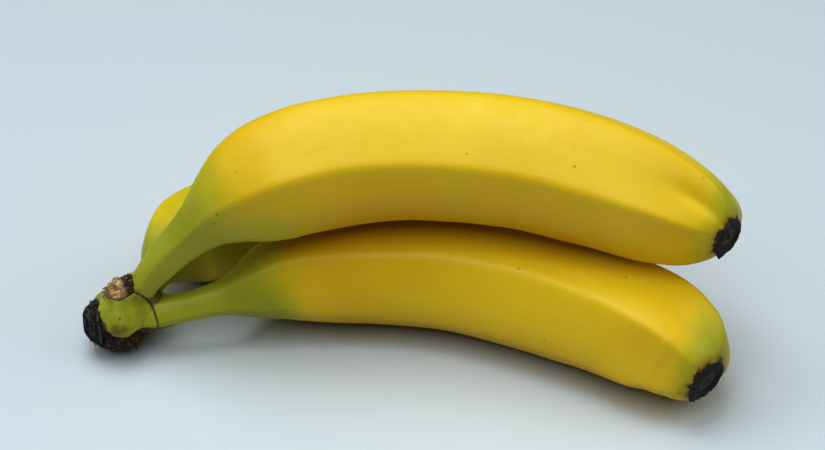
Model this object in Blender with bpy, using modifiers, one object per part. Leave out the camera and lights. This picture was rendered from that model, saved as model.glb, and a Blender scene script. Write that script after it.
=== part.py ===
"""Small hand of dessert bananas, joined at its crown and lying on its side.

Metres, +Z up, +X from the crown to the blossom ends, +Y away from the viewer. The origin is the middle
of the footprint, on the surface the fruit lies on. All of it grew as one piece, so it is one closed body.
Dimensions below are in millimetres, measured from LAYOUT_MIDDLE, which is then set on the origin.
"""
import bmesh
import bpy
from math import cos, pi, radians, sin
from mathutils import Vector

MM = 0.001
LAYOUT_MIDDLE = (-3.0, -9.54, 0.0)  # middle of the footprint, in the coordinates the spines use

SIDES = 20  # around a finger, four to each of the peel's five faces
CAGE_SWELL = 1.0163  # a 20-sided cage's limit surface is this much smaller than the cage
STATIONS = (0, .04, .08, .12, .16, .2, .245, .295, .36, .45, .55, .65, .735, .805, .865, .915, .955, .98, 1)

# Each finger: middle line, (share of length, radius), (share of length, turn of the ridges in degrees),
# the direction square to the plane the finger bends in. RIDGE_SHARPNESS: how crisp its five ridges are.
RIDGE_SHARPNESS = ((0, .08), (.12, .2), (.25, .5), (.5, .5), (.9, .5), (1, .1))
TOP_FINGER = {
    "spine": ((-79, -23, 13), (-75.5, -22.6, 20.5), (-70.6, -22, 27), (-63.4, -21, 34.6), (-52, -18, 43.8),
              (-40, -14, 49.3), (-20, -8.5, 52.3), (5, -7, 53.3), (30, -10.8, 53.2), (51, -18.1, 51.9),
              (68.5, -26, 49.9), (77.5, -32, 48.5), (82.8, -37.2, 47.9)),
    "radii": ((0, 4.8), (.04, 4.3), (.09, 5.2), (.142, 6.3), (.18, 7.9), (.22, 11.8), (.26, 16),
              (.31, 18.6), (.38, 19.4), (.5, 19.5), (.62, 19.8), (.76, 19.8), (.86, 18.5), (.93, 15.4),
              (.975, 10.8), (1, 6.3)),
    "turn": ((0, 60), (.3, 63), (1, 63)),
    "square": (0, -.34, .94),
}
FRONT_FINGER = {
    "spine": ((-78, -25.5, 10.5), (-60, -23.5, 14.2), (-49, -21, 15.8), (-32, -15, 17), (5, -13, 17.2),
              (33, -21.3, 17), (58, -34.6, 17.5), (70.4, -44.4, 16.7), (75.6, -51.2, 15.2),
              (78.2, -56.4, 14.4)),
    "radii": ((0, 4.8), (.08, 4.5), (.135, 5.2), (.17, 7.4), (.21, 11), (.26, 14.6), (.33, 17.2),
              (.45, 17.8), (.6, 18), (.75, 18.5), (.87, 18.2), (.94, 15.8), (.98, 11.2), (1, 6.3)),
    "turn": ((0, 40), (.5, 40), (.85, 48), (1, 52)),
    "square": (0, -.22, .975),
}
REAR_FINGER = {
    "spine": ((-79, -19, 12), (-75, -10, 14), (-68, 3.5, 15.4), (-53, 11.6, 16.3), (-33, 19, 17.2),
              (-4, 24, 17.4), (20, 20.5, 17.4), (38, 11.5, 17.9), (48, 4, 18.5), (54, -2, 19)),
    "radii": ((0, 4.8), (.06, 5), (.115, 9.6), (.17, 14.6), (.25, 16.6), (.35, 17.7), (.45, 18.2),
              (.62, 18.2), (.78, 17.4), (.88, 15.4), (.95, 12), (1, 6.3)),
    "turn": ((0, 52), (1, 52)),
    "square": (0, -.1, .99),
}

# The corky black blossom end: (distance past the peel, share of the peel's last radius), dished in the middle.
BLOSSOM_END = ((.5, .98), (.9, .86), (.5, .6), (-.2, .3))

# The crown: middle line from the dried cut to between the stalks, its radii, and the swellings
# (direction in degrees, share) towards the stalks.
CROWN_SIDES = 14
CROWN_SWELL = 1.034
CROWN_SPINE = ((-93.2, -26.8, 9.6), (-92.3, -26.7, 9.6), (-89.8, -26.3, 9.7), (-86.4, -25.6, 9.1),
               (-82.4, -24.5, 9.6), (-78.4, -23.3, 11.8), (-74.6, -22.4, 13.6), (-71.6, -21.8, 14.6))
CROWN_RADII = (3.6, 5.2, 7.2, 9.5, 10.7, 9.2, 7.2, 4.6)
CROWN_LOBES = ((10, .07), (100, .05))

FLOOR_TRIM = (400, 400, 60)  # block that takes the three small flats off at the surface it lies on


def keyed(keys, t):
    """Value at t of a smooth curve through (t, value) keys that never overshoots them."""
    secants = [(b[1] - a[1]) / (b[0] - a[0]) for a, b in zip(keys, keys[1:])]
    slopes = [secants[0]]
    for s0, s1 in zip(secants, secants[1:]):
        slopes.append(2 * s0 * s1 / (s0 + s1) if s0 * s1 > 0 else 0)
    slopes.append(secants[-1])
    for i, ((t0, v0), (t1, v1)) in enumerate(zip(keys, keys[1:])):
        if t <= t1 or i == len(keys) - 2:
            width = t1 - t0
            u = (t - t0) / width
            return (v0 * (1 + 2 * u) * (1 - u) ** 2 + v1 * u * u * (3 - 2 * u)
                    + width * (slopes[i] * u * (1 - u) ** 2 - slopes[i + 1] * u * u * (1 - u)))


def trace(points, steps=40):
    """Dense points on the centripetal Catmull-Rom curve through the given ones."""
    pts = [Vector(p) for p in points]
    pts = [2 * pts[0] - pts[1], *pts, 2 * pts[-1] - pts[-2]]
    dense = []
    for quad in zip(pts, pts[1:], pts[2:], pts[3:]):
        k = [0.0]
        for a, b in zip(quad, quad[1:]):
            k.append(k[-1] + (b - a).length ** .5)
        for step in range(steps):
            t = k[1] + (k[2] - k[1]) * step / steps
            a = [quad[i].lerp(quad[i + 1], (t - k[i]) / (k[i + 1] - k[i])) for i in range(3)]
            b = [a[i].lerp(a[i + 1], (t - k[i]) / (k[i + 2] - k[i])) for i in range(2)]
            dense.append(b[0].lerp(b[1], (t - k[1]) / (k[2] - k[1])))
    return dense + [pts[-2]]


def at_share(dense, share):
    """Point and direction of the curve at a share of its length."""
    lengths = [0.0]
    for a, b in zip(dense, dense[1:]):
        lengths.append(lengths[-1] + (b - a).length)
    goal = share * lengths[-1]
    i = next(i for i in range(1, len(dense)) if lengths[i] >= goal - 1e-9)
    u = (goal - lengths[i - 1]) / (lengths[i] - lengths[i - 1])
    ahead, behind = dense[min(i + 1, len(dense) - 1)], dense[max(i - 2, 0)]
    return dense[i - 1].lerp(dense[i], u), (ahead - behind).normalized()


def ridged(angle, turn, sharpness):
    """Share of the radius at an angle round a section with five soft ridges, the first one at turn."""
    a = abs((angle - turn + pi / 5) % (2 * pi / 5) - pi / 5)
    return (cos(pi / 5) / cos(a - pi / 5)) ** sharpness


def ring(centre, direction, square, radius_at, sides):
    """Points round a middle line, from the outer side of the bend over the top."""
    up = (square - square.project(direction)).normalized()
    outer = up.cross(direction)
    angles = [2 * pi * k / sides for k in range(sides)]
    return [centre + radius_at(a) * (cos(a) * outer + sin(a) * up) for a in angles]


def skin(name, rings, material):
    """Closed cage of circles bridged one to the next, with a Subdivision Surface over it."""
    bm = bmesh.new()
    edges = []
    for n, points in enumerate(rings):
        ends = n in (0, len(rings) - 1)
        verts = bmesh.ops.create_circle(bm, cap_ends=ends, segments=len(points), radius=1)["verts"]
        for vert, point in zip(verts, points):
            vert.co = (point - Vector(LAYOUT_MIDDLE)) * MM
        edges.append({edge for vert in verts for edge in vert.link_edges})
    for near, far in zip(edges, edges[1:]):
        bmesh.ops.bridge_loops(bm, edges=list(near | far))
    bmesh.ops.recalc_face_normals(bm, faces=bm.faces)
    mesh = bpy.data.meshes.new(name)
    bm.to_mesh(mesh)
    bm.free()
    mesh.materials.append(material)
    body = bpy.data.objects.new(name, mesh)
    soft = body.modifiers.new("soft form", "SUBSURF")
    soft.levels = soft.render_levels = 1
    return body


def finger(name, shape, material):
    """One banana from inside the crown to its dished blossom end."""
    dense, square = trace(shape["spine"]), Vector(shape["square"])
    rings = []
    for t in STATIONS:
        centre, direction = at_share(dense, t)
        turn, sharp = radians(keyed(shape["turn"], t)), keyed(RIDGE_SHARPNESS, t)
        radius = keyed(shape["radii"], t) * CAGE_SWELL
        rings.append(ring(centre, direction, square, lambda a: radius * ridged(a, turn, sharp), SIDES))
    tip = shape["radii"][-1][1] * CAGE_SWELL
    for past, share in BLOSSOM_END:
        rings.append(ring(centre + past * direction, direction, square, lambda a: tip * share, SIDES))
    return skin(name, rings, material)


def crown(name, material):
    """The pad the stalks grow from, with the dried cut at its far end."""
    def lobed(angle):
        swell = sum(share * max(0, cos(angle - radians(way))) ** 2 for way, share in CROWN_LOBES)
        return radius * CROWN_SWELL * (1 + swell)

    middle = [Vector(p) for p in CROWN_SPINE]
    rings = []
    for n, radius in enumerate(CROWN_RADII):
        direction = (middle[min(n + 1, len(middle) - 1)] - middle[max(n - 1, 0)]).normalized()
        rings.append(ring(middle[n], direction, Vector((0, 0, 1)), lobed, CROWN_SIDES))
    return skin(name, rings, material)


def peel_material():
    material = bpy.data.materials.new("peel")
    material.use_nodes = True
    shader = material.node_tree.nodes["Principled BSDF"]
    shader.inputs["Base Color"].default_value = (.76, .53, .045, 1)
    shader.inputs["Roughness"].default_value = .45
    return material


def combine(body, operation, other):
    step = body.modifiers.new(f"{operation.lower()} {other.name}", "BOOLEAN")
    step.operation, step.solver, step.object = operation, "EXACT", other


for old in list(bpy.data.objects):
    bpy.data.objects.remove(old)

bunch = bpy.data.collections.new("banana_bunch")
shapes = bpy.data.collections.new("joined and cut shapes")
for collection in (bunch, shapes):
    bpy.context.scene.collection.children.link(collection)

peel = peel_material()
body = crown("banana_bunch", peel)
bunch.objects.link(body)
for name, shape in (("top finger", TOP_FINGER), ("front finger", FRONT_FINGER), ("rear finger", REAR_FINGER)):
    grown = finger(name, shape, peel)
    shapes.objects.link(grown)
    combine(body, "UNION", grown)

bm = bmesh.new()
bmesh.ops.create_cube(bm, size=1)
bmesh.ops.scale(bm, verts=bm.verts, vec=[side * MM for side in FLOOR_TRIM])
bmesh.ops.translate(bm, verts=bm.verts, vec=(0, 0, -FLOOR_TRIM[2] / 2 * MM))
mesh = bpy.data.meshes.new("surface it lies on")
bm.to_mesh(mesh)
bm.free()
surface = bpy.data.objects.new("surface it lies on", mesh)
shapes.objects.link(surface)
combine(body, "DIFFERENCE", surface)

for shape in shapes.objects:
    shape.hide_render, shape.display_type = True, "WIRE"
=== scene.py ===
from math import cos, pi, radians, sin

import bmesh
import bpy
import numpy as np
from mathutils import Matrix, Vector, noise


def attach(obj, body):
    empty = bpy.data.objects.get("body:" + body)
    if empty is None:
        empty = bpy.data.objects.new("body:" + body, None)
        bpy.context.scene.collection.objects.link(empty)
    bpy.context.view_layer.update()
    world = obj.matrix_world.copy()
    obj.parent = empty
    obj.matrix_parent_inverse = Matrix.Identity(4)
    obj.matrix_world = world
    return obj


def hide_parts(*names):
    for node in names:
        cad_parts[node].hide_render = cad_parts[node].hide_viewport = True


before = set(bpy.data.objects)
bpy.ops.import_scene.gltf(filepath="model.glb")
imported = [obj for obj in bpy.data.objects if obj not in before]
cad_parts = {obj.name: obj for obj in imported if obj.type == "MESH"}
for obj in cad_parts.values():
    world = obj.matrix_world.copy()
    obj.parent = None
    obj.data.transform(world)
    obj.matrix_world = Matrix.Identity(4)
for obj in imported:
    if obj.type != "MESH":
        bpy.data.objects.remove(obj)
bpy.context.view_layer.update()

# The crown. It is the pad of stem tissue that the stalks grow from: waxy green skin round pale fibrous
# pith. The hand was cut from the bunch here, so its far end and underside dried charcoal black and brown,
# and a finger torn off the top left a tan, splintered patch.
MM = .001
FOOTPRINT_MIDDLE = np.array((-3.0, -9.54, 0.0))  # the origin, in the coordinates that the growth lines use

CROWN_LINE = ((-93.2, -26.8, 9.6), (-89.8, -26.3, 9.7), (-86.4, -25.6, 9.7), (-82.4, -24.5, 10.4),
              (-78.4, -23.4, 12), (-74.6, -22.4, 13.6), (-71.6, -21.8, 14.6), (-66, -21.2, 16.3))
CROWN_REACH = ((0, .8), (.06, .4), (.12, .1), (.17, .5), (.26, 2), (.4, 5.4), (.57, 11), (.74, 16.5),
               (.88, 22), (1, 27.5))  # how far along its line each ring of skin lies, in mm
CROWN_RADIUS = ((0, .02), (.06, 1.7), (.12, 3.1), (.17, 4.1), (.26, 5.7), (.4, 8.1), (.57, 9.8), (.74, 5.8),
                (.88, 3), (1, .8))
# mm along the line, and mm added on top, where the torn patch stands up
CROWN_TOP = ((0, 0), (2.5, -.4), (6, -.9), (9, -.1), (12, 2), (15, 5.2), (18.5, 7.2), (23, 1.5))
CROWN_TOP_WAY, CROWN_TOP_WIDE = 86, 31  # degrees round, and to each side
CROWN_RINGS, CROWN_SIDES, CAP_RINGS = 200, 260, 30
STALK_SHRINK, STALK_FILLET = .7, 3.6  # the crown's skin runs on under the stalks' skins, in mm
MOST_SWELLING = 5  # mm that the skin may rise to meet the stalks
SETTLING_ROUNDS = 14
# where the charred tissue ends: degrees round, mm from the cut
CUT_EDGE = ((0, 5), (60, 4.6), (94, 5.2), (116, 5), (137, 5.4), (151, 6.3), (166, 7), (174, 7.8),
            (179, 10.4), (183, 13.2), (191, 15.4), (203, 18), (213, 21), (224, 26), (300, 26), (322, 11),
            (342, 6), (360, 5))
CUT_WANDER, CUT_SOFTNESS = .8, .3  # mm
# the dark line where the stalks' skins part from the crown's: degrees round, mm from the cut
CREASE = ((60, 14), (97, 17), (111, 18.3), (123, 19.9), (138, 20.7), (162, 21.1), (186, 20.9), (215, 19.5))
CREASE_WANDER, CREASE_HALF_WIDTH = .12, .32  # mm
# the torn patch's near edge: mm from the cut, degrees round
TORN_EDGE = ((4, 84), (5.5, 90), (7.5, 91), (9.5, 101), (11.6, 110), (14.2, 114.5), (16.4, 112),
             (18.3, 111), (20, 106), (21.3, 98), (23, 90))
# how far the patch reaches over the top from there: mm from the cut, degrees
TORN_SPAN = ((5.2, 0), (6.2, 17), (8, 32), (12, 54), (16, 50), (19, 34), (20.8, 16), (21.6, 0))
MM_PER_DEGREE = .17
SKIN_STEP = .7  # how far the dried tissue has shrunk below the skin


def eased(keys, t):
    """Values at t on the smooth curve through (t, value) keys that never goes past them."""
    x, y = np.array(keys, float).T
    secants = np.diff(y) / np.diff(x)
    before, after = secants[:-1], secants[1:]
    same_way = before * after > 0
    inner = np.where(same_way, 2 * before * after / np.where(same_way, before + after, 1), 0)
    slopes = np.concatenate([secants[:1], inner, secants[-1:]])
    i = np.clip(np.searchsorted(x, t, side="right") - 1, 0, len(x) - 2)
    width = x[i + 1] - x[i]
    u = (t - x[i]) / width
    return (y[i] * (1 + 2 * u) * (1 - u) ** 2 + y[i + 1] * u * u * (3 - 2 * u)
            + width * (slopes[i] * u * (1 - u) ** 2 - slopes[i + 1] * u * u * (1 - u)))


def step(low, high, value):
    """0 below low, 1 above high, and a soft change between."""
    u = np.clip((value - low) / (high - low), 0, 1)
    return u * u * (3 - 2 * u)


def growth_line(points):
    """Dense points, in mm, on the smooth curve through the given ones, and their distances along it."""
    given = np.array(points, float) - FOOTPRINT_MIDDLE
    given = np.vstack([2 * given[0] - given[1], given, 2 * given[-1] - given[-2]])
    knots = np.concatenate([[0], np.cumsum(np.linalg.norm(np.diff(given, axis=0), axis=1) ** .5)])
    dense = []
    for i in range(len(given) - 3):
        k, p = knots[i:i + 4], given[i:i + 4]
        t = np.linspace(k[1], k[2], 40, endpoint=False)[:, None]
        a = [((k[j + 1] - t) * p[j] + (t - k[j]) * p[j + 1]) / (k[j + 1] - k[j]) for j in range(3)]
        b = [((k[j + 2] - t) * a[j] + (t - k[j]) * a[j + 1]) / (k[j + 2] - k[j]) for j in range(2)]
        dense.append(((k[2] - t) * b[0] + (t - k[1]) * b[1]) / (k[2] - k[1]))
    dense = np.vstack(dense + [given[-2:-1]])
    return dense, np.concatenate([[0], np.cumsum(np.linalg.norm(np.diff(dense, axis=0), axis=1))])


def line_frames(dense, distance, reach, square, ease=4.0):
    """Middle points at these distances along a growth line, with the outer and upper directions there."""
    def at(d):
        return np.stack([np.interp(d, distance, dense[:, axis]) for axis in range(3)], 1)

    last = distance[-1]
    ahead = at(np.clip(reach + ease, 0, last))
    behind = at(np.clip(reach - ease, 0, last))
    along = (ahead - behind) / np.linalg.norm(ahead - behind, axis=1)[:, None]
    middle = at(np.clip(reach, 0, last)) + (reach - np.clip(reach, 0, last))[:, None] * along
    up = np.array(square, float) - (along @ np.array(square, float))[:, None] * along
    up /= np.linalg.norm(up, axis=1)[:, None]
    return middle, np.cross(up, along), up, along


def rough(points, size, seed):
    """Smooth noise from -1 to 1 at each point, with lumps of about this many mm."""
    flat = points.reshape(-1, 3) / size + seed * 17.3
    return np.array([noise.noise(Vector(p)) for p in flat]).reshape(points.shape[:-1])


def skin(name, tubes, material):
    """Rolls a grid into a closed tube through each set of rings, and keeps its facts on the vertices."""
    bm = bmesh.new()
    for points, facts in tubes:
        rings, sides = points.shape[:2]
        layers = [(bm.verts.layers.float.get(fact) or bm.verts.layers.float.new(fact), values)
                  for fact, values in facts.items()]
        verts = bmesh.ops.create_grid(bm, x_segments=sides, y_segments=rings - 1, size=1)["verts"]
        for n, vert in enumerate(verts):
            ring, side = divmod(n, sides + 1)
            side %= sides
            vert.co = points[ring, side] * MM
            for layer, values in layers:
                vert[layer] = values[ring, side]
    bmesh.ops.remove_doubles(bm, verts=bm.verts, dist=1e-7)
    bmesh.ops.holes_fill(bm, edges=[edge for edge in bm.edges if edge.is_boundary], sides=0)
    bmesh.ops.recalc_face_normals(bm, faces=bm.faces)
    for face in bm.faces:
        face.smooth = True
    mesh = bpy.data.meshes.new(name)
    bm.to_mesh(mesh)
    bm.free()
    mesh.materials.append(material)
    piece = bpy.data.objects.new(name, mesh)
    bpy.context.scene.collection.objects.link(piece)
    return piece


def fit(piece):
    """Puts a finished piece on the bunch in place of its plain solid."""
    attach(piece, "root")
    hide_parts("banana_bunch")


def srgb(code):
    """A hex colour as linear red, green, blue and alpha."""
    parts = [int(code[i:i + 2], 16) / 255 for i in (1, 3, 5)]
    return (*[p / 12.92 if p <= .04045 else ((p + .055) / 1.055) ** 2.4 for p in parts], 1)


def add(tree, kind, sockets=None, **settings):
    """One node with its settings, and each socket linked or set."""
    made = tree.nodes.new(kind)
    for setting, value in settings.items():
        setattr(made, setting, value)
    for socket, value in (sockets or {}).items():
        if isinstance(value, bpy.types.NodeSocket):
            tree.links.new(value, made.inputs[socket])
        else:
            made.inputs[socket].default_value = value
    return made


def blank_material(name):
    """A material with its tree, and its Principled shader."""
    material = bpy.data.materials.new(name)
    material.use_nodes = True
    return material, material.node_tree, material.node_tree.nodes["Principled BSDF"]


def over(tree, amount, below, above):
    """The colour above laid over the one below by an amount."""
    return add(tree, "ShaderNodeMix", {0: amount, 6: below, 7: above}, data_type="RGBA").outputs[2]


def ranged(tree, value, low, high, to_low=0.0, to_high=1.0):
    """A value brought from one range to another, softly at both ends."""
    return add(tree, "ShaderNodeMapRange", {"Value": value, "From Min": low, "From Max": high,
                                            "To Min": to_low, "To Max": to_high},
               interpolation_type="SMOOTHSTEP").outputs["Result"]


def fact(tree, name):
    """A number kept on the vertices."""
    return add(tree, "ShaderNodeAttribute", attribute_name=name).outputs["Fac"]


def cloud(tree, vector, per_metre, detail=3.0, seed=0.0, contrast=(.35, .65)):
    """Soft noise from 0 to 1, with this many lumps to the metre: 100 gives lumps 10 mm across."""
    place = add(tree, "ShaderNodeMapping", {"Vector": vector, "Location": (seed, seed * .7, seed * .3)})
    lumps = add(tree, "ShaderNodeTexNoise",
                {"Vector": place.outputs[0], "Scale": per_metre, "Detail": detail})
    return ranged(tree, lumps.outputs["Fac"], *contrast)


def times(tree, a, b, operation="MULTIPLY"):
    """Two values multiplied, or put together by another operation."""
    return add(tree, "ShaderNodeMath", {0: a, 1: b}, operation=operation).outputs[0]


# Dried crown: waxy skin still green, pith gone brown and black. It reads as soft satin green with 6 to 9 mm
# smudges and 1 mm specks, and dull, fibrous dark ends with .4 mm grit that take hardly any light.
CROWN_GREEN, CROWN_OLIVE, CROWN_LIME = srgb("#8A8B1A"), srgb("#70601A"), srgb("#A19B22")
CHARCOAL, CHARCOAL_GREY = srgb("#1C1918"), srgb("#4B4642")
DRIED_BROWN, DRIED_UMBER = srgb("#3A2313"), srgb("#6B4526")
TORN_TAN, TORN_CREAM, PALE_RIM_HIGHLIGHT = srgb("#B58A58"), srgb("#DDBD92"), srgb("#B9B054")
crown_tissue, tree, shader = blank_material("dried crown tissue")
place = add(tree, "ShaderNodeTexCoord").outputs["Object"]
green = over(tree, cloud(tree, place, 160), CROWN_GREEN, CROWN_LIME)
green = over(tree, cloud(tree, place, 110, seed=2, contrast=(.5, .64)), green, CROWN_OLIVE)
speck = cloud(tree, place, 900, detail=1, seed=5, contrast=(.7, .76))
green = over(tree, times(tree, speck, .7), green, DRIED_BROWN)
fibre = fact(tree, "fibre")
brown = over(tree, fibre, DRIED_BROWN, DRIED_UMBER)
black = over(tree, fibre, CHARCOAL, CHARCOAL_GREY)
dried = over(tree, fact(tree, "charred"), brown, black)
tan = over(tree, fibre, TORN_TAN, TORN_CREAM)
tan = over(tree, fact(tree, "scorched"), tan, DRIED_BROWN)
colour = over(tree, fact(tree, "cut"), green, dried)
colour = over(tree, fact(tree, "torn"), colour, tan)
colour = over(tree, fact(tree, "edge"), colour, CHARCOAL)
# A pale line along the torn patch's far edge: the torn skin's paler edge, brightened as painted highlight.
colour = over(tree, fact(tree, "pale rim highlight"), colour, PALE_RIM_HIGHLIGHT)
tree.links.new(colour, shader.inputs["Base Color"])
bare = times(tree, fact(tree, "cut"), fact(tree, "torn"), "MAXIMUM")
tree.links.new(ranged(tree, bare, 0, 1, .46, .88), shader.inputs["Roughness"])
shader.inputs["Specular IOR Level"].default_value = .32
grit = add(tree, "ShaderNodeTexNoise", {"Vector": place, "Scale": 2600.0, "Detail": 4.0})
bump = add(tree, "ShaderNodeBump", {"Height": grit.outputs["Fac"], "Distance": .00025,
                                    "Strength": ranged(tree, bare, 0, 1, .12, .9)})
tree.links.new(bump.outputs[0], shader.inputs["Normal"])

# The stalks and growth lines of the three fingers are settled here, because the crown's skin swells to meet
# them. Each finger: its growth line, its radii and the turn of its five ridges by share of length, and the
# direction square to the plane that it bends in.
TOP_FINGER = {
    "line": ((-79, -23, 13), (-75.5, -22.6, 20.5), (-70.6, -22, 27), (-63.4, -21, 34.6), (-52, -18, 43.8),
             (-40, -14, 49.3), (-20, -8.5, 52.3), (5, -7, 53.3), (30, -10.8, 53.2), (51, -18.1, 51.9),
             (68.5, -26, 49.9), (77.8, -32, 48.5), (83.9, -38, 47.7)),
    "radii": ((0, 4.8), (.04, 4.3), (.09, 5.2), (.142, 6.3), (.18, 7.9), (.22, 11.8), (.26, 16),
              (.31, 18.6), (.38, 19.4), (.5, 19.5), (.62, 19.8), (.76, 19.8), (.86, 18.5), (.93, 15.4),
              (.962, 13), (.985, 9.4), (1, 4.9)),
    "turn": ((0, 50), (.19, 53), (.3, 60), (.5, 63), (.7, 66), (1, 69)),
    "square": (0, -.34, .94),
}
FRONT_FINGER = {
    "line": ((-78, -25.5, 10.5), (-60, -23.5, 14.2), (-49, -20.8, 15.9), (-32, -14, 17.3), (5, -12.6, 17.3),
             (33, -21.3, 17), (58, -34.6, 17.5), (70.4, -44.4, 16.7), (75.6, -51.2, 15.2),
             (78.8, -57.2, 14.1)),
    "radii": ((0, 4.8), (.08, 4.5), (.135, 5.2), (.17, 7.4), (.21, 10.9), (.26, 13.8), (.33, 15.7),
              (.45, 17.1), (.6, 17.6), (.75, 18.4), (.87, 18.2), (.94, 15.8), (.97, 12.8), (.988, 9.6),
              (1, 5.6)),
    "turn": ((0, 24), (.2, 33), (.29, 40), (.4, 44), (.62, 43), (.77, 48), (.9, 53), (1, 48)),
    "square": (0, -.22, .975),
}
REAR_FINGER = {
    "line": ((-79, -19, 12), (-75, -10, 14), (-68, 3.5, 15.4), (-53, 11.6, 16.3), (-33, 19, 17.2),
             (-4, 24, 17.4), (20, 20.5, 17.4), (38, 11.5, 17.9), (48, 4, 18.5), (54, -2, 19)),
    "radii": ((0, 4.8), (.06, 5), (.115, 9.6), (.17, 14.6), (.25, 16.6), (.35, 17.7), (.45, 18.2),
              (.62, 18.2), (.78, 17.4), (.88, 15.4), (.95, 12), (.98, 9), (1, 5)),
    "turn": ((0, 52), (1, 52)),
    "square": (0, -.1, .99),
}


def stalk_gap(points, shape, mm):
    """Distance in mm from each point to the skin of a finger's first few mm, negative inside it."""
    dense, distance = growth_line(shape["line"])
    gap = np.full(points.shape[:-1], 1e3)
    for d in np.arange(0, mm, 1.0):
        middle = np.array([np.interp(d, distance, dense[:, axis]) for axis in range(3)])
        radius = eased(shape["radii"], d / distance[-1]) - STALK_SHRINK
        gap = np.minimum(gap, np.linalg.norm(points - middle, axis=-1) - radius)
    return gap


def blended(a, b, width):
    """The nearer of two distances, rounded where they are nearly equal."""
    h = np.clip(width - np.abs(a - b), 0, None) / width
    return np.minimum(a, b) - h * h * width / 4


STALKS_MET = ((TOP_FINGER, 11), (FRONT_FINGER, 16), (REAR_FINGER, 12))  # and the mm of each that it meets
ring_share = np.linspace(0, 1, CROWN_RINGS)
around = np.linspace(0, 2 * pi, CROWN_SIDES, endpoint=False)
reach = eased(CROWN_REACH, ring_share)
middle, outer, up, along = line_frames(*growth_line(CROWN_LINE), reach, (0, 0, 1))
rays = np.cos(around)[None, :, None] * outer[:, None] + np.sin(around)[None, :, None] * up[:, None]
own = eased(CROWN_RADIUS, ring_share)[:, None] * (1 + .07 * np.clip(np.cos(around), 0, 1)[None, :] ** 2)
open_end = step(0, .16, ring_share)[:, None]
on_top = np.exp(-((np.degrees(around) - CROWN_TOP_WAY) / CROWN_TOP_WIDE) ** 2)
own = own + eased(CROWN_TOP, reach)[:, None] * open_end * on_top[None, :]
reach = np.broadcast_to(reach[:, None], own.shape)
degrees = np.broadcast_to(np.degrees(around)[None, :], own.shape)
radius = own * .5
for _ in range(SETTLING_ROUNDS):
    at = middle[:, None] + radius[..., None] * rays
    surface = radius - own
    for shape, mm in STALKS_MET:
        surface = blended(surface, stalk_gap(at, shape, mm), STALK_FILLET)
    radius = np.minimum(radius - surface * open_end - (radius - own) * (1 - open_end), own + MOST_SWELLING)
radius = radius * (.05 + .95 * step(27.5, 22, reach))  # closes to a blunt point inside the stalks
plain = middle[:, None] + radius[..., None] * rays


def crown_marks(points, reach, degrees):
    """How many mm each point lies inside the cut's edge and short of the crease, and how both wander."""
    wander = rough(points, 3.5, 1) + .5 * rough(points, 1.4, 2)
    cut = eased(CUT_EDGE, degrees) - reach + CUT_WANDER * wander
    crack = eased(CREASE, np.clip(degrees, CREASE[0][0], CREASE[-1][0])) + CREASE_WANDER * wander - reach
    return cut, crack, wander


def crease_depth(crack, degrees):
    """The crease from 0 to 1, fading out over the top and underneath."""
    line = np.exp(-(crack / CREASE_HALF_WIDTH) ** 2)
    return line * step(104, 111, degrees) * step(232, 215, degrees)


cut, crack, wander = crown_marks(plain, reach, degrees)
cut = step(-CUT_SOFTNESS, CUT_SOFTNESS, cut)
near_edge = (eased(TORN_EDGE, np.clip(reach, 4, 23)) - degrees) * MM_PER_DEGREE + .18 * wander
span = eased(TORN_SPAN, np.clip(reach, 5.2, 21.6)) * MM_PER_DEGREE
far_edge = span - near_edge + .5 * wander
within = np.minimum(near_edge, far_edge)
torn = step(-.25, .25, within) * step(.3, 1.5, span) * (1 - cut)
bare = np.maximum(cut, torn)
spread = np.stack([reach, around[None, :] * 9 + 0 * reach, 0 * reach], -1)
strands_across = rough(spread * (1.0, .16, 1), .8, 3)  # fibres that run round the cut
strands_along = rough(spread * (.14, 1.0, 1), .55, 4)  # fibres that run along the tear
crumbs = rough(plain, 1.1, 5) + .6 * rough(plain, .5, 6)
fibres = np.where(torn > cut, strands_along, strands_across)
lumps = (.3 * rough(plain, 6.5, 7) + .12 * rough(plain, 2.4, 8)) * step(24, 17, reach)
below = step(200, 250, degrees) * step(360, 320, degrees)
torn_line = np.exp(-(near_edge / .38) ** 2) * step(4.6, 5.6, reach) * step(20.5, 18.5, reach) * (1 - cut)
crease = np.maximum(crease_depth(crack, degrees) * (1 - bare), torn_line)
shreds = rough(spread * (1.0, .4, 1), 2.6, 9) + .5 * crumbs
rise = lumps - SKIN_STEP * bare + bare * (.38 * fibres + (.3 + .2 * below) * crumbs) + .35 * cut * shreds
rise = rise - .3 * crease
crown_points = plain + (rise * open_end * step(27.4, 24, reach))[..., None] * rays
crown_points[..., 2] = np.maximum(crown_points[..., 2], .02)
cut_line = np.exp(-((cut - .5) / .28) ** 2) * .75
scorched = step(15, 17.5, reach + 1.2 * wander) + .7 * step(.2, .6, .4 * crumbs - fibres)
crown = skin("crown", [(crown_points, {
    "cut": cut,
    "torn": torn,
    "fibre": step(-.1, .6, fibres + .4 * crumbs),
    "charred": step(-.5, .5, (7.5 - reach) / 5 + .8 * wander) * step(300, 230, degrees),
    "scorched": np.clip(scorched, 0, 1),
    "edge": np.clip(cut_line + crease, 0, 1),
    # The torn skin's pale far edge, brightened as painted highlight.
    "pale rim highlight": np.exp(-(far_edge / .7) ** 2) * step(1.5, 3, span) * (1 - cut),
})], crown_tissue)
fit(crown)

# Torn fibres. Where the hand was cut and pulled from the bunch, the stringy bundles of the pith stand out
# of the crown's underside, its cut rim and the torn patch as loose, dry strands.
# Each group: how many, mm along, degrees round, lengths, how steeply they stand, how pale they are, their
# bend, and their thickness in mm.
STRANDS = ((150, (5, 21), (186, 262), (.7, 1.9), .75, .08, .5, .16),
           (110, (.4, 5.6), (20, 330), (.5, 1.5), .7, .06, .5, .16),
           (40, (1.5, 5.4), (62, 112), (.8, 1.9), .22, .3, .3, .12),
           (190, (7.5, 19.5), (70, 114), (.9, 2.4), .08, .5, .2, .18))
STRAND_RINGS, STRAND_SIDES = 7, 5
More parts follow.
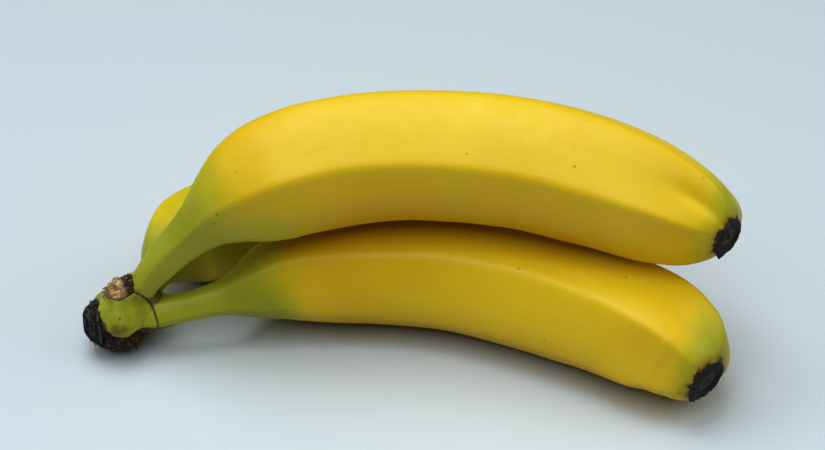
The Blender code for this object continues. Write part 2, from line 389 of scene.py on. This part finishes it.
# Dry pith strands: bundles of plant fibre, dried brown and paler where they were torn last. They are dull,
# and show as thin bristles against the light.
DRY_STRAND, PALE_STRAND = srgb("#2B180C"), srgb("#B28A5C")
strand_fibre, tree, shader = blank_material("dry pith strands")
tree.links.new(over(tree, fact(tree, "pale"), DRY_STRAND, PALE_STRAND), shader.inputs["Base Color"])
shader.inputs["Roughness"].default_value = .8
chance = np.random.default_rng(11)
tubes = []
for count, (s_low, s_high), (way_low, way_high), (short, long), steep, pale, bent, thickest in STRANDS:
    for _ in range(count):
        ring = np.searchsorted(reach[CAP_RINGS:, 0], chance.uniform(s_low, s_high)) + CAP_RINGS
        side = int(chance.uniform(way_low, way_high) / 360 * CROWN_SIDES) % CROWN_SIDES
        if bare[ring, side] < .6:
            continue
        out = rays[ring, side]
        lie = np.cross(out, chance.normal(size=3))
        lie /= np.linalg.norm(lie)
        if steep < .5:
            lie = .85 * along[ring] * chance.choice((-1, 1)) + .4 * lie
        way = steep * out + (1 - steep) * lie + chance.normal(size=3) * .16
        way /= np.linalg.norm(way)
        bend = np.cross(way, chance.normal(size=3)) * chance.uniform(.1, bent)
        length = chance.uniform(short, long)
        along_strand = np.linspace(0, 1, STRAND_RINGS)
        centre = crown_points[ring, side] - .25 * out + length * (
            along_strand[:, None] * way + along_strand[:, None] ** 2 * bend)
        centre[:, 2] = np.maximum(centre[:, 2], .25)
        thick = chance.uniform(.5, 1) * thickest * np.sin(pi * (.18 + .82 * along_strand)) ** .7
        thick[-1] = 0
        turn = np.linspace(0, 2 * pi, STRAND_SIDES, endpoint=False)
        across = np.cross(way, (.3, .5, .81))
        across /= np.linalg.norm(across)
        other = np.cross(way, across)
        tube = centre[:, None] + thick[:, None, None] * (
            np.cos(turn)[None, :, None] * across + np.sin(turn)[None, :, None] * other)
        shade = np.clip(pale + chance.normal() * .16, 0, 1)
        tubes.append((tube, {"pale": np.full(tube.shape[:2], shade)}))
fit(skin("crown_fibres", tubes, strand_fibre))

# The peels. A finger's skin is a waxy rind that keeps five ridges, one over each carpel seam: sharp along
# the body, fading into the stalk, and closing like a star on the blossom end. It ripens from the middle,
# so stalks and tips stay green.
NECK_RINGS, BODY_RINGS, PEEL_SIDES = 110, 210, 150
NECK_LENGTH = 24.0  # mm of stalk whose rings are close enough together to hold the crown's crease
MARKED_LENGTH = 26  # mm of stalk that the crown's cut and crease can reach
RIDGE_SHARPNESS = ((0, .1), (.05, .4), (.14, .5), (.22, .52), (.32, .5), (.6, .52), (.82, .62), (.92, .8),
                   (.965, .8), (.988, .5), (1, .1))
RIDGE_BEAD = .007  # share of the radius that a crest stands up by
RIDGE_ROUNDING, CREST_WIDTH = radians(5), radians(7)
RIDGE_PITCH = 2 * pi / 5
FLAT_SIDE_RIDGE_LOSS = .8  # share of its sharpness that a ridge loses on the flattened lower side, which also gets painted shade
GREEN_TIP = .42
SLANT_LENGTH = 8  # mm of skin that turn with a slanting tip
PATTERN_RADIUS = 18  # mm, the radius that the rind's pattern is wrapped round at


def away(degrees, way):
    """How many degrees from way, from -180 to 180."""
    return (degrees - way + 180) % 360 - 180


def facing(degrees, way, wide):
    """1 towards way, and less to each side of it."""
    return np.exp(-(away(degrees, way) / wide) ** 2)


def ridged(angle, turn, sharpness):
    """Share of the radius round a section with five ridges, and how near each point is to a crest."""
    off = np.abs((angle - turn + RIDGE_PITCH / 2) % RIDGE_PITCH - RIDGE_PITCH / 2)
    soft = np.hypot(off, RIDGE_ROUNDING) - RIDGE_ROUNDING * .35
    share = (cos(pi / 5) / np.cos(np.clip(soft - pi / 5, -pi / 5, pi / 5))) ** sharpness
    crest = np.exp(-(off / CREST_WIDTH) ** 2)
    return share * (1 + RIDGE_BEAD * crest), crest


def crown_place(points):
    """How far along the crown's line and how many degrees round it each point lies."""
    ahead = np.einsum("rsc,kc->rsk", points, along) - (middle * along).sum(1)
    nearest = np.abs(ahead[..., CAP_RINGS:]).argmin(-1) + CAP_RINGS
    off = points - middle[nearest]
    degrees = np.degrees(np.arctan2((off * up[nearest]).sum(-1), (off * outer[nearest]).sum(-1))) % 360
    return reach[nearest, 0] + np.take_along_axis(ahead, nearest[..., None], -1)[..., 0], degrees


def slant(shape, radius, around, left):
    """How far the skin runs on past a square end, so that the blossom end faces a little to one side."""
    tilt, way = shape["end slant"]
    reached = np.minimum(radius, shape["radii"][-1][1])
    return tilt * reached * np.cos(around - radians(way)) * step(SLANT_LENGTH, 0, left)


def peel(name, shape, seed, material):
    """The skin of one finger, from inside the crown to under its blossom end."""
    dense, distance = growth_line(shape["line"])
    towards_tip = 1 - (1 - np.linspace(0, 1, BODY_RINGS)) ** 1.25
    reach = np.concatenate([np.linspace(0, NECK_LENGTH, NECK_RINGS, endpoint=False),
                            NECK_LENGTH + (distance[-1] - NECK_LENGTH) * towards_tip])
    share = reach / distance[-1]
    middle, outer, up, heading = line_frames(dense, distance, reach, shape["square"])
    around = np.linspace(0, 2 * pi, PEEL_SIDES, endpoint=False)
    rays = np.cos(around)[None, :, None] * outer[:, None] + np.sin(around)[None, :, None] * up[:, None]
    left = distance[-1] - reach
    round_it = np.degrees(around)[None, :]
    way, shift, wide = shape["ridge shift"]
    moved = shift * facing(round_it, way, wide) * step(60, 12, left)[:, None]
    turn = np.radians(eased(shape["turn"], share)[:, None] + moved)
    way, wide, sunk = shape["worn side"]
    # The flattened lower side: its ridges soften, it sinks a little, and its rind gets painted shade.
    worn = facing(round_it, way, wide) * step(.2, .36, share)[:, None] * step(.93, .8, share)[:, None]
    strength = 1 + .16 * np.cos(around[None, :] * 2 + seed * 1.7) + .12 * np.cos(around[None, :] * 3 - seed)
    sharpness = eased(RIDGE_SHARPNESS, share)[:, None] * strength * (1 - FLAT_SIDE_RIDGE_LOSS * worn)
    profile, crest = ridged(around[None, :], turn, sharpness)
    radius = eased(shape["radii"], share)[:, None] * profile * (1 - sunk * worn)
    points = middle[:, None] + radius[..., None] * rays
    body = step(.1, .3, share)[:, None] * step(1, .97, share)[:, None]
    rise = body * (.28 * rough(points, 24, seed) + .13 * rough(points, 9, seed + .5))
    stalk_folds = step(.3, .12, share)[:, None] * step(0, .03, share)[:, None]
    rise = rise + stalk_folds * .1 * rough(np.stack([
        reach[:, None] / 14 + 0 * around[None, :], 4 * np.cos(around)[None, :] + 0 * share[:, None],
        4 * np.sin(around)[None, :] + 0 * share[:, None]], -1), 1.0, seed)
    for at, way, long, wide, deep in shape["dents"]:
        off = away(round_it, way) / wide
        rise = rise - deep * np.exp(-((left[:, None] - at) / long) ** 2 - off ** 2)
    crease, dried = np.zeros(radius.shape), np.zeros(radius.shape)
    near = reach < MARKED_LENGTH
    crown_reach, degrees = crown_place(points[near])
    cut, crack, _ = crown_marks(points[near], crown_reach, degrees)
    dried[near] = step(-CUT_SOFTNESS, CUT_SOFTNESS, cut)
    crease[near] = crease_depth(crack, degrees) * (1 - dried[near])
    crumbs = rough(points[near], 1.1, 5)
    rise[near] += dried[near] * (.2 * crumbs - .1) - .25 * crease[near]
    skew = slant(shape, radius, around, left[:, None])
    points = points + rise[..., None] * rays + skew[..., None] * heading[:, None]
    points[..., 2] = np.maximum(points[..., 2], .02)

    uneven = .5 * rough(points, 16, seed + 3) + .25 * rough(points, 5, seed + 4)
    full, gone = shape["green stalk"]
    green = step(gone, full, reach)[:, None] + step(shape["green tip"], 1, left)[:, None] * GREEN_TIP
    for at, way, long, wide, amount in shape["green patches"]:
        off = away(round_it, way) / wide
        green = green + amount * np.exp(-((reach[:, None] - at) / long) ** 2 - off ** 2)
    green = np.clip(green + uneven * green * (1.2 - green), 0, 1)
    return skin(name, [(points, {
        "green": green,
        "left": np.broadcast_to(left[:, None], radius.shape),
        "reach": np.broadcast_to(reach[:, None], radius.shape),
        "crest": crest * body,
        # This fact carries the painted shade of the flattened lower side.
        "painted_shade": worn,
        "dried": dried,
        "crease": crease,
        "round_x": np.broadcast_to(PATTERN_RADIUS * np.cos(around)[None, :], radius.shape),
        "round_y": np.broadcast_to(PATTERN_RADIUS * np.sin(around)[None, :], radius.shape),
    })], material)


# Ripe banana rind: a thin layer of natural wax over lengthwise fibres, drawn 1 mm wide and 22 mm long. It
# gives broad, soft highlights, a slight glow where light enters, and yellow that shifts over 30 to 60 mm,
# with corky specks of half a millimetre, ridges marked by rubbing and .7 mm pores. On each finger's
# flattened lower side the yellow is darkened as painted shade.
RIPE_YELLOW, DEEP_YELLOW, PALE_YELLOW = srgb("#E4B814"), srgb("#DAA70E"), srgb("#ECC928")
PAINTED_SHADE_YELLOW = srgb("#C4920E")
LIME, STALK_GREEN, DEEP_GREEN = srgb("#C6B018"), srgb("#AEA62C"), srgb("#888A18")
RUB_BROWN, SPECK_BROWN, DRY_BROWN = srgb("#A2801F"), srgb("#5E3F16"), srgb("#3A240F")
rind, tree, shader = blank_material("ripe banana rind")
place = add(tree, "ShaderNodeTexCoord").outputs["Object"]
unrolled = add(tree, "ShaderNodeCombineXYZ", {0: fact(tree, "reach"), 1: fact(tree, "round_x"),
                                              2: fact(tree, "round_y")}).outputs[0]
lengthwise = add(tree, "ShaderNodeMapping", {"Vector": unrolled, "Scale": (.045, 1.1, 1.1)}).outputs[0]
pale_areas = times(tree, cloud(tree, place, 30, detail=1, contrast=(.15, .85)), .7)
yellow = over(tree, pale_areas, RIPE_YELLOW, PALE_YELLOW)
deep_areas = times(tree, cloud(tree, place, 17, detail=1, seed=3, contrast=(.3, .9)), .55)
yellow = over(tree, deep_areas, yellow, DEEP_YELLOW)
streak = cloud(tree, lengthwise, 1.0, detail=4, seed=8, contrast=(.42, .72))
yellow = over(tree, times(tree, streak, .12), yellow, DEEP_YELLOW)
# Painted shade: the rind on the flattened lower side is darkened towards brown-yellow.
yellow = over(tree, times(tree, fact(tree, "painted_shade"), .6), yellow, PAINTED_SHADE_YELLOW)
green_amount = fact(tree, "green")
colour = over(tree, ranged(tree, green_amount, 0, .55), yellow, LIME)
deep_areas = times(tree, cloud(tree, place, 55, detail=2, seed=13, contrast=(.3, .75)), .6)
stalk = over(tree, deep_areas, STALK_GREEN, DEEP_GREEN)
stalk = over(tree, times(tree, streak, .2), stalk, DEEP_GREEN)
colour = over(tree, ranged(tree, green_amount, .2, 1), colour, stalk)
rub = times(tree, fact(tree, "crest"), cloud(tree, lengthwise, 3.0, detail=3, seed=4, contrast=(.55, .75)))
colour = over(tree, times(tree, rub, .14), colour, RUB_BROWN)
specks = add(tree, "ShaderNodeTexVoronoi", {"Vector": place, "Scale": 260.0, "Randomness": 1.0})
dot = ranged(tree, specks.outputs["Distance"], .12, .05)
dot = times(tree, dot, cloud(tree, place, 70, detail=1, seed=6, contrast=(.58, .66)))
colour = over(tree, times(tree, dot, .6), colour, SPECK_BROWN)
scar = cloud(tree, lengthwise, 2.2, detail=2, seed=11, contrast=(.74, .8))
colour = over(tree, times(tree, scar, .45), colour, SPECK_BROWN)
waver = times(tree, cloud(tree, place, 500, detail=2, seed=9), .6)
tip_edge = times(tree, fact(tree, "left"), waver, "SUBTRACT")
colour = over(tree, ranged(tree, tip_edge, 2.0, .2, 0, .75), colour, RUB_BROWN)
colour = over(tree, ranged(tree, tip_edge, .7, 0), colour, DRY_BROWN)
dried = over(tree, cloud(tree, place, 900, seed=14), DRY_BROWN, DRIED_UMBER)
colour = over(tree, fact(tree, "dried"), colour, dried)
colour = over(tree, fact(tree, "crease"), colour, CHARCOAL)
tree.links.new(colour, shader.inputs["Base Color"])
shader.inputs["IOR"].default_value = 1.45
shader.inputs["Specular IOR Level"].default_value = .32
shader.inputs["Subsurface Weight"].default_value = .04
shader.inputs["Subsurface Radius"].default_value = (1.0, .85, .35)
shader.inputs["Subsurface Scale"].default_value = .0015
wax = cloud(tree, place, 240, detail=4, seed=7)
tree.links.new(ranged(tree, wax, 0, 1, .37, .46), shader.inputs["Roughness"])
pores = add(tree, "ShaderNodeTexNoise", {"Vector": place, "Scale": 1500.0, "Detail": 3.0})
relief = times(tree, pores.outputs["Fac"], times(tree, streak, .35), "ADD")
bump = add(tree, "ShaderNodeBump", {"Height": relief, "Distance": .0001, "Strength": .22})
tree.links.new(bump.outputs[0], shader.inputs["Normal"])

# What sets each skin apart, in mm along and degrees round. Green: full up to the first mark and gone by the
# second, a tip, and patches (where, half sizes, strength). Dents: mm from the tip, way, half sizes, depth.
# Ridge shift: way, degrees, half width. End slant: slope, way. Flat side, flattened and darkened with
# painted
# shade: way, half width, share sunk.
TOP_FINGER["green stalk"], TOP_FINGER["green tip"] = (24, 58), 9
TOP_FINGER["green patches"] = ((48, 212, 18, 52, .56), (183, 50, 8, 40, .45))
TOP_FINGER["dents"] = ((9, 103, 8, 12, 1.5), (14, 240, 9, 16, .6), (9, 20, 8, 18, .7))
TOP_FINGER["ridge shift"], TOP_FINGER["end slant"] = (66, 10, 34), (0, 0)
TOP_FINGER["worn side"] = (212, 42, .08)
FRONT_FINGER["green stalk"], FRONT_FINGER["green tip"] = (19, 53), 8
FRONT_FINGER["green patches"] = ((32, 195, 13, 60, .52), (60, 205, 26, 50, .2), (170, 60, 8, 45, .5))
FRONT_FINGER["dents"] = ((9, 88, 9, 14, .8), (12, 200, 9, 16, .6), (10, 310, 8, 16, .6))
FRONT_FINGER["ridge shift"], FRONT_FINGER["end slant"] = (200, -8, 30), (.22, 180)
FRONT_FINGER["worn side"] = (222, 40, .05)
REAR_FINGER["green stalk"], REAR_FINGER["green tip"] = (10, 24), 8
REAR_FINGER["green patches"] = ((24, 260, 14, 60, .4), (46, 160, 26, 60, .8), (30, 90, 22, 60, .3))
REAR_FINGER["dents"] = ((10, 16, 9, 16, .8), (13, 160, 9, 14, .6))
REAR_FINGER["ridge shift"], REAR_FINGER["end slant"] = (130, 10, 30), (.1, 90)
REAR_FINGER["worn side"] = (250, 34, .02)
for name, shape, seed in (("peel_top", TOP_FINGER, 1.0), ("peel_front", FRONT_FINGER, 2.0),
                          ("peel_rear", REAR_FINGER, 3.0)):
    fit(peel(name, shape, seed, rind))

# The blossom ends. Where the flower withered off, each finger closes in a black, corky scar with a low rim
# and a dished, ring-marked face, and often a leftover nub of the dried flower.
BLOSSOM_RINGS, BLOSSOM_SIDES = 60, 110
# from under the skin's end to the middle of the face: how far out each ring lies in mm, and how wide it is
# as a share of the finger's end
BLOSSOM_OUT = ((0, -1.4), (.12, -.3), (.24, .2), (.34, .5), (.46, .45), (.6, .1), (.78, -.1), (.9, .15),
               (1, .3))
BLOSSOM_SHARE = ((0, .95), (.12, 1.04), (.24, 1.03), (.34, .94), (.46, .8), (.6, .58), (.78, .32),
                 (.9, .14), (1, .01))
NUB_WIDE, NUB_STANDS_OUT = 24, .9  # degrees to each side, mm
# Withered blossom cork: dead, dried tissue gone black, crumbly at .3 mm. It takes almost no light, and shows
# as black, with grey painted highlight laid on its crests.
CORK_BLACK, CORK_HIGHLIGHT_GREY, CORK_BROWN = srgb("#100E0B"), srgb("#35322A"), srgb("#1E1710")
cork, tree, shader = blank_material("withered blossom cork")
place = add(tree, "ShaderNodeTexCoord").outputs["Object"]
colour = over(tree, cloud(tree, place, 420, detail=4), CORK_BLACK, CORK_BROWN)
# Painted highlight: the crests of the rings and crumbs are turned grey.
colour = over(tree, times(tree, fact(tree, "crest"), .6), colour, CORK_HIGHLIGHT_GREY)
tree.links.new(colour, shader.inputs["Base Color"])
shader.inputs["Roughness"].default_value = .82
grit = add(tree, "ShaderNodeTexNoise", {"Vector": place, "Scale": 3200.0, "Detail": 4.0})
bump = add(tree, "ShaderNodeBump", {"Height": grit.outputs["Fac"], "Distance": .0002, "Strength": .8})
tree.links.new(bump.outputs[0], shader.inputs["Normal"])


def blossom_end(name, shape, seed, nub_way):
    """The corky scar on a finger's tip, with its nub at these degrees round."""
    dense, distance = growth_line(shape["line"])
    middle, outer, up, along = line_frames(dense, distance, distance[-1:], shape["square"])
    share = np.linspace(0, 1, BLOSSOM_RINGS)
    around = np.linspace(0, 2 * pi, BLOSSOM_SIDES, endpoint=False)
    rays = np.cos(around)[:, None] * outer + np.sin(around)[:, None] * up
    nub = facing(np.degrees(around), nub_way, NUB_WIDE)[None, :]
    nub = nub * np.exp(-((share - .32) / .2) ** 2)[:, None]
    oval = 1 + .05 * np.cos(2 * around + seed) + .03 * np.cos(3 * around - seed)
    radius = shape["radii"][-1][1] * eased(BLOSSOM_SHARE, share)[:, None] * oval[None, :] * (1 + .26 * nub)
    out = eased(BLOSSOM_OUT, share)[:, None] + NUB_STANDS_OUT * nub
    out = out + slant(shape, radius, around[None, :], 0)
    points = middle[:, None] + radius[..., None] * rays[None] + out[..., None] * along[:, None]
    rings = np.sin(radius * 5.2 + 1.6 * rough(points, 2.2, seed))
    crumbs = rough(points, 1.3, seed + 1) + .6 * rough(points, .6, seed + 2)
    open_face = step(.06, .3, share)[:, None] * step(0, .5, radius)
    rise = open_face * (.16 * rings + .26 * crumbs)
    points = points + (rise[..., None] * (.8 * along[:, None] + .2 * rays[None]))
    # The crest fact marks where the cork gets its painted highlight.
    fit(skin(name, [(points, {"crest": step(.05, .6, .5 * rings + crumbs)})], cork))


blossom_end("blossom_end_top", TOP_FINGER, 4.0, 205)
blossom_end("blossom_end_front", FRONT_FINGER, 5.0, 190)
blossom_end("blossom_end_rear", REAR_FINGER, 6.0, 60)

# The floor and the light. A plain pale board lies under the hand. Soft boxes shine from almost straight
# above, from high in front and from low at both sides, and a dim pale room fills the rest.
FLOOR_SIZE = 4  # m from the middle to each edge
# Matt pale board: painted card, even and without grain, so it shows soft shade and no gloss.
FLOOR_PALE = srgb("#CCCBC9")
floor_paint, tree, shader = blank_material("matt pale board")
shader.inputs["Base Color"].default_value = FLOOR_PALE
shader.inputs["Roughness"].default_value = .55
bm = bmesh.new()
bmesh.ops.create_grid(bm, x_segments=1, y_segments=1, size=FLOOR_SIZE)
mesh = bpy.data.meshes.new("floor")
bm.to_mesh(mesh)
bm.free()
mesh.materials.append(floor_paint)
floor = bpy.data.objects.new("floor", mesh)
bpy.context.scene.collection.objects.link(floor)


def aim(thing, at, towards):
    """Puts a light or camera at a place and points it at another, both in metres."""
    thing.location = at
    thing.rotation_euler = (Vector(towards) - Vector(at)).to_track_quat("-Z", "Y").to_euler()
    bpy.context.scene.collection.objects.link(thing)


COOL_WHITE = srgb("#E6F5FF")


def soft_box(name, at, size, watts):
    """A square cool white light at this place, pointed at the hand."""
    lamp = bpy.data.lights.new(name, "AREA")
    lamp.shape, lamp.size, lamp.energy, lamp.color = "SQUARE", size, watts, COOL_WHITE[:3]
    aim(bpy.data.objects.new(name, lamp), at, (0, 0, .03))


soft_box("overhead soft box", (-.2, .22, 1.15), .85, 10.8)
soft_box("high front soft box", (-.08, -.54, 1.08), .95, 7.8)
soft_box("right fill", (.9, -.05, .75), .85, 4.5)
soft_box("left fill", (-.9, -.05, .7), .85, 2.8)
world = bpy.data.worlds.new("pale room")
bpy.context.scene.world = world
world.use_nodes = True
world.node_tree.nodes["Background"].inputs["Color"].default_value = srgb("#D3E0E6")
world.node_tree.nodes["Background"].inputs["Strength"].default_value = .1
bpy.context.scene.view_settings.view_transform = "Standard"
bpy.context.scene.view_settings.gamma = .82

# The camera. It looks down on the hand at 35 degrees, from half a metre away and through a long lens, so
# the fingers keep their true proportions.
CAMERA_TURN_UP = radians(35)
CAMERA_FAR = .5  # m
LOOKED_AT = Vector((3.0, 9.54, 25)) * MM
lens = bpy.data.cameras.new("camera")
lens.sensor_width, lens.lens = 36, 75
camera = bpy.data.objects.new("camera", lens)
aim(camera, LOOKED_AT + CAMERA_FAR * Vector((0, -cos(CAMERA_TURN_UP), sin(CAMERA_TURN_UP))), LOOKED_AT)
bpy.context.scene.camera = camera
